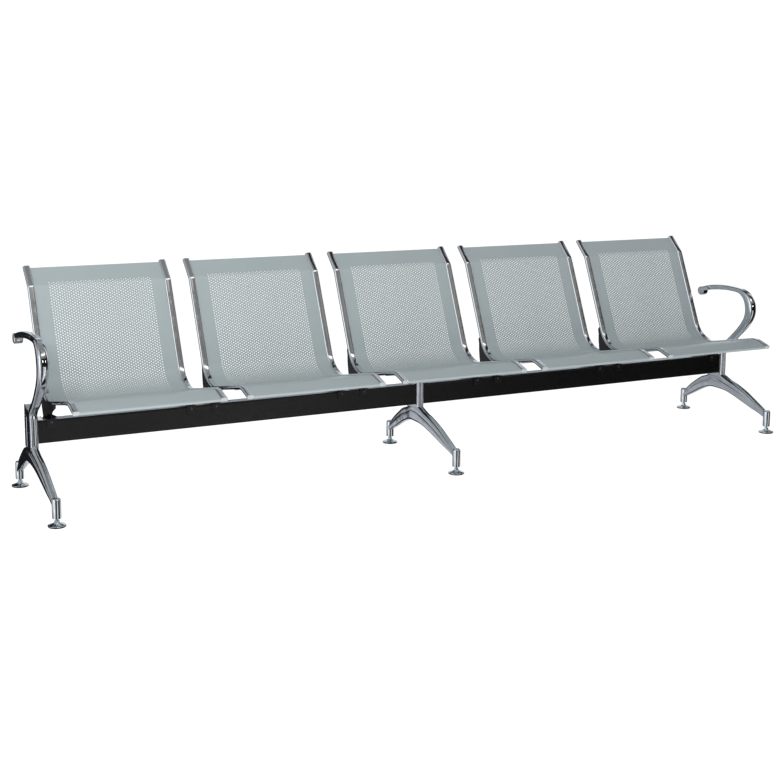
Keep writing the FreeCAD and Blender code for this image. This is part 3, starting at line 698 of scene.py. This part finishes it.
ARM_FLARE, CURL_R, CURL_W, CURL_C = 9.0, 19.0, 32.0, (172.0, 547.5)
ARM = [
    (24.0, 290.0, 31.0, 27.0),
    (14.0, 316.0, 28.0, 27.5),
    (-8.0, 336.0, 26.0, 28.0),
    (-35.5, 354.5, 25.0, 28.5),
    (-63.0, 379.0, 25.5, 29.0),
    (-89.0, 403.0, 26.0, 31.0),
    (-114.0, 427.5, 29.0, 33.0),
    (-135.0, 453.0, 33.0, 35.5),
    (-146.5, 476.0, 37.0, 37.0),
    (-151.0, 502.0, 40.0, 37.5),
    (-145.5, 530.0, 39.0, 37.5),
    (-129.0, 554.0, 31.5, 36.0),
    (-105.0, 570.0, 24.0, 33.0),
    (-76.0, 578.0, 19.5, 30.0),
    (-12.0, 580.5, 19.5, 30.0),
    (46.0, 577.5, 21.0, 30.0),
    (96.0, 571.5, 22.0, 30.0),
    (140.0, 563.0, 21.0, 30.5),
    (170.0, 555.0, 19.0, 31.0),
]


def arm_shell(lx):
    rows = spline(ARM, 6)
    tang = np.gradient(rows[:, :2], axis=0)
    tang /= np.linalg.norm(tang, axis=1)[:, None]
    rings = []
    for k, ((y, z, t, w), (ty, tz)) in enumerate(zip(rows, tang)):
        ny, nz = tz, -ty
        cx = lx
        if k > 12 * 6:
            cx = lx + math.copysign(ARM_FLARE * max(0.0, y + 60.0) / (CURL_C[0] + 60.0), lx)
        hw, ht = w / 2, t / 2
        ro, ri = min(hw, ht) * 0.8, min(hw, ht) * 0.32
        ring = []
        for sx, sn, r, a0 in ((1, 1, ro, 0), (-1, 1, ro, 90), (-1, -1, ri, 180), (1, -1, ri, 270)):
            m = 7 if r == ro else 4
            for q in range(m):
                a = math.radians(a0 + 90 * q / (m - 1))
                px, pn = sx * (hw - r) + r * math.cos(a), sn * (ht - r) + r * math.sin(a)
                ring.append((cx + px, y - ny * pn, z - nz * pn))
        rings.append(ring)
    return skin(rings)


def curl_shells(cx):
    """Rolled end of the arm: a disc with a rounded rim and a spiral groove on both sides."""
    y0, z0 = CURL_C
    n, hw, rim = 72, CURL_W / 2, 5.5
    flat = [0.05] + [0.6 * k for k in range(1, int((CURL_R - rim) / 0.6) + 1)]
    flat = [r for r in flat if r < CURL_R - rim - 0.2] + [CURL_R - rim]
    side = [(r, 0.0) for r in flat]
    side += [(CURL_R - rim + rim * math.sin(math.pi / 2 * k / 7), rim * (1 - math.cos(math.pi / 2 * k / 7))) for k in range(1, 8)]
    rings = []
    for sgn in (-1, 1):
        rows = side if sgn < 0 else side[::-1]
        for r, back in rows:
            ring = []
            for k in range(n):
                a = 2 * math.pi * k / n
                # the winding starts under the arm and closes in towards the middle
                turn = ((math.radians(80.0) - a) % (2 * math.pi)) / (2 * math.pi)
                dip = 0.0
                for lap in (0, 1, 2):
                    line = CURL_R - 0.5 - 6.4 * (turn + lap)
                    if line > 2.0:
                        dip = max(dip, max(0.0, 1.0 - ((r - line) / 1.15) ** 2))
                ring.append((cx + sgn * (hw - back - 2.2 * dip), y0 + (r - 0.5 * dip * (back > 2)) * math.cos(a), z0 + (r - 0.5 * dip * (back > 2)) * math.sin(a)))
            rings.append(ring)
    return [skin(rings)]


HORN = [(8, 293), (14, 314), (30, 322), (48, 322), (66, 328), (REAR_FACE - 4, 335), (REAR_FACE, 330), (REAR_FACE, 293)]
for side, lx, inner in (("left", LEG_X["left"], 1), ("right", LEG_X["right"], -1)):
    shells = [arm_shell(lx)] + curl_shells(lx + math.copysign(ARM_FLARE, lx)) + clamp_top(lx, (inner,), -inner)
    shells.append(slab(HORN, lx - CL_W / 2, lx + CL_W / 2, 2.0, 3, 3.0))
    o = joined("armrest_%s_casting" % side, shells, mat_cast, 38.0)
    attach(o, "bench")
    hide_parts("armrest_" + side)

# ------------------------------------------------------------------ finishes of the solid nodes that stay
NODE_FINISH = [
    ("beam", mat_beam, "black_paint"), ("bracket_screws", mat_screw, "screw"), ("clamp_bolts", mat_screw, "screw"),
    ("tube_end_caps", mat_cap, "end_cap"),
]
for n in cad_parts:
    if "_bracket_" in n:
        NODE_FINISH.append((n, mat_bracket, "black_paint"))
    elif n.endswith("_rails"):
        NODE_FINISH.append((n, mat_rail, "panel_paint"))
    elif n.endswith("_disc"):
        NODE_FINISH.append((n, mat_disc, None))
    elif n.endswith("_rubber"):
        NODE_FINISH.append((n, mat_rubber, None))
    elif n.endswith("_stud"):
        NODE_FINISH.append((n, mat_zinc, None))
for n, m, s in NODE_FINISH:
    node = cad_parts[n]
    if not node.data.materials:
        node.data.materials.append(m)
    for k in range(len(node.data.materials)):
        node.data.materials[k] = m

# ------------------------------------------------------------------ floor, light and camera
scene = bpy.context.scene
scene.view_settings.view_transform = "Standard"
scene.view_settings.look = "None"

floor_me = bpy.data.meshes.new("studio_floor")
E = 60.0
floor_me.from_pydata([(-E, -E, 0), (E, -E, 0), (E, E, 0), (-E, E, 0)], [], [(0, 1, 2, 3)])
fm, ft, fp, fco = material("studio_floor_pale")
ft.put(ft.mix(ft.map(ft.noise(0.7, 2.0, 0.5, fco), 0.3, 0.7, 0.0, 1.0), (0.50, 0.50, 0.50), (0.52, 0.52, 0.52)), fp.inputs["Base Color"])
fp.inputs["Roughness"].default_value = 0.9
fp.inputs["Specular IOR Level"].default_value = 0.0
fp.inputs["Emission Color"].default_value = (1, 1, 1, 1)
fp.inputs["Emission Strength"].default_value = 0.84
floor_me.materials.append(fm)
floor = bpy.data.objects.new("studio_floor", floor_me)
floor.location.z = -0.0006
scene.collection.objects.link(floor)
floor.visible_glossy = False

world = bpy.data.worlds.new("studio")
scene.world = world
world.use_nodes = True
w = Tree(world.node_tree)
wout = w.n("ShaderNodeOutputWorld")
direction = w.n("ShaderNodeTexCoord").outputs["Generated"]
sep = w.n("ShaderNodeSeparateXYZ")
w.put(direction, sep.inputs[0])
dx, dy, dz = sep.outputs
# azimuth from +Y towards +X, as 0..1 for -180..180 degrees
az = w.math("ARCTAN2", dx, dy)
azn = w.math("MULTIPLY_ADD", az, 1.0 / (2 * math.pi), 0.5)
el = w.math("ARCSINE", dz)
eln = w.math("MULTIPLY_ADD", el, 1.0 / math.pi, 0.5)


def deg(a):
    return (a + 180.0) / 360.0


def up_at(a):
    return (a + 90.0) / 180.0


rear = w.ramp(azn, [
    (0.0, 0.5), (deg(-150), 0.22), (deg(-132), 0.45), (deg(-118), 0.95), (deg(-98), 1.05), (deg(-84), 0.55), (deg(-64), 0.52), (deg(-40), 0.42), (deg(-28), 0.46), (deg(-19), 0.04),
    (deg(1), 0.04), (deg(9), 0.62), (deg(42), 0.72), (deg(60), 0.07), (deg(84), 1.0), (deg(100), 0.10), (deg(125), 0.07), (1.0, 0.5)])
level = w.ramp(eln, [(0.0, 0.6), (up_at(-50), 0.6), (up_at(-30), 0.95), (up_at(16), 1.0), (up_at(30), 0.92), (up_at(48), 0.5), (up_at(56), 0.7), (up_at(66), 0.16), (1.0, 0.12)])
sides = w.mix(1.0, rear, level, "MULTIPLY")
front_low = w.ramp(azn, [(deg(118), 0.0), (deg(143), 0.004), (deg(150), 0.20), (deg(158), 1.0), (deg(165), 0.74), (deg(172), 0.62), (1.0, 0.40)])
front_high = w.ramp(eln, [(up_at(-10), 0.0), (up_at(-7), 0.03), (up_at(24), 0.03), (up_at(32), 0.30), (up_at(43), 0.34), (up_at(47), 1.15), (up_at(53), 0.95),
                          (up_at(60), 0.17), (up_at(80), 0.06), (1.0, 0.06)])
front = w.mix(w.map(eln, up_at(-9), up_at(-6), 0.0, 1.0, True), front_low, front_high)
front_part = w.math("MAXIMUM", w.map(azn, deg(118), deg(136), 0.0, 1.0, True), w.map(azn, deg(-152), deg(-166), 0.0, 1.0, True))
both = w.mix(front_part, sides, front)
# soft unevenness of the surroundings, so that plated parts don't look flat
uneven = w.map(w.noise(5.0, 4.0, 0.62, direction), 0.3, 0.7, 0.62, 1.30)
both = w.mix(1.0, both, uneven, "MULTIPLY")
both = w.math("MULTIPLY", w.math("POWER", both, 1.4), 1.45)
both = w.mix(1.0, both, w.mix(front_part, (0.95, 0.99, 1.05), (1.02, 0.975, 0.935)), "MULTIPLY")


def lamp_spot(a, e, half_a, half_e, value):
    """A small square light in the surroundings at azimuth a and elevation e, in degrees."""
    da = w.math("ABSOLUTE", w.math("SUBTRACT", azn, deg(a)))
    de = w.math("ABSOLUTE", w.math("SUBTRACT", eln, up_at(e)))
    ina = w.map(da, half_a / 360.0 * 0.8, half_a / 360.0 * 1.2, value, 0.0, True)
    ine = w.map(de, half_e / 180.0 * 0.8, half_e / 180.0 * 1.2, 1.0, 0.0, True)
    return w.math("MULTIPLY", ina, ine)


spots = w.math("ADD", lamp_spot(176, 15, 3.0, 4.0, 6.0), lamp_spot(152, 13, 3.0, 4.0, 6.0))
both = w.mix(1.0, both, spots, "ADD")
rays = w.n("ShaderNodeLightPath")
bg_gloss = w.n("ShaderNodeBackground")
w.put(both, bg_gloss.inputs["Color"])
bg_even = w.n("ShaderNodeBackground")
bg_even.inputs["Color"].default_value = (1, 1, 1, 1)
bg_even.inputs["Strength"].default_value = 0.45
bg_seen = w.n("ShaderNodeBackground")
bg_seen.inputs["Color"].default_value = (1, 1, 1, 1)
bg_seen.inputs["Strength"].default_value = 1.05
mix_a = w.n("ShaderNodeMixShader")
mix_b = w.n("ShaderNodeMixShader")
w.t.links.new(rays.outputs["Is Glossy Ray"], mix_a.inputs[0])
w.t.links.new(bg_even.outputs[0], mix_a.inputs[1])
w.t.links.new(bg_gloss.outputs[0], mix_a.inputs[2])
w.t.links.new(rays.outputs["Is Camera Ray"], mix_b.inputs[0])
w.t.links.new(mix_a.outputs[0], mix_b.inputs[1])
w.t.links.new(bg_seen.outputs[0], mix_b.inputs[2])
w.t.links.new(mix_b.outputs[0], wout.inputs["Surface"])


def area(name, at, look, size, power, tint=(1, 1, 1)):
    d = bpy.data.lights.new(name, "AREA")
    d.shape = "RECTANGLE"
    d.size, d.size_y = size
    d.energy = power
    d.color = tint
    o = bpy.data.objects.new(name, d)
    o.location = at
    o.rotation_euler = (Vector(look) - Vector(at)).to_track_quat("-Z", "Y").to_euler()
    scene.collection.objects.link(o)
    return o


area("overhead", (-0.6, -0.6, 4.2), (0, 0, 0.3), (6.0, 3.2), 14.0)
area("front_left", (-3.0, -3.2, 2.4), (-0.9, 0, 0.5), (1.6, 1.6), 90.0).visible_glossy = False

C = Vector((-2494.976, -4548.897, 1332.274)) * MM
yaw, pitch, roll = 0.474627, 0.151305, 0.005303
focal, ppx, ppy = 1372.717, 387.455, 318.506
fw = Vector((math.sin(yaw) * math.cos(pitch), math.cos(yaw) * math.cos(pitch), -math.sin(pitch)))
rt = Vector((math.cos(yaw), -math.sin(yaw), 0.0))
up = rt.cross(fw)
rt2 = math.cos(roll) * rt + math.sin(roll) * up
up2 = -math.sin(roll) * rt + math.cos(roll) * up
cam_data = bpy.data.cameras.new("photo_view")
cam_data.sensor_width = 36.0
cam_data.lens = focal / 780.0 * 36.0
cam_data.shift_x = (390.0 - ppx) / 780.0
cam_data.shift_y = (ppy - 390.0) / 780.0
cam_data.clip_start, cam_data.clip_end = 0.05, 300.0
cam = bpy.data.objects.new("photo_view", cam_data)
m = Matrix((rt2, up2, -fw)).transposed().to_4x4()
m.translation = C
cam.matrix_world = m
scene.collection.objects.link(cam)
scene.camera = cam
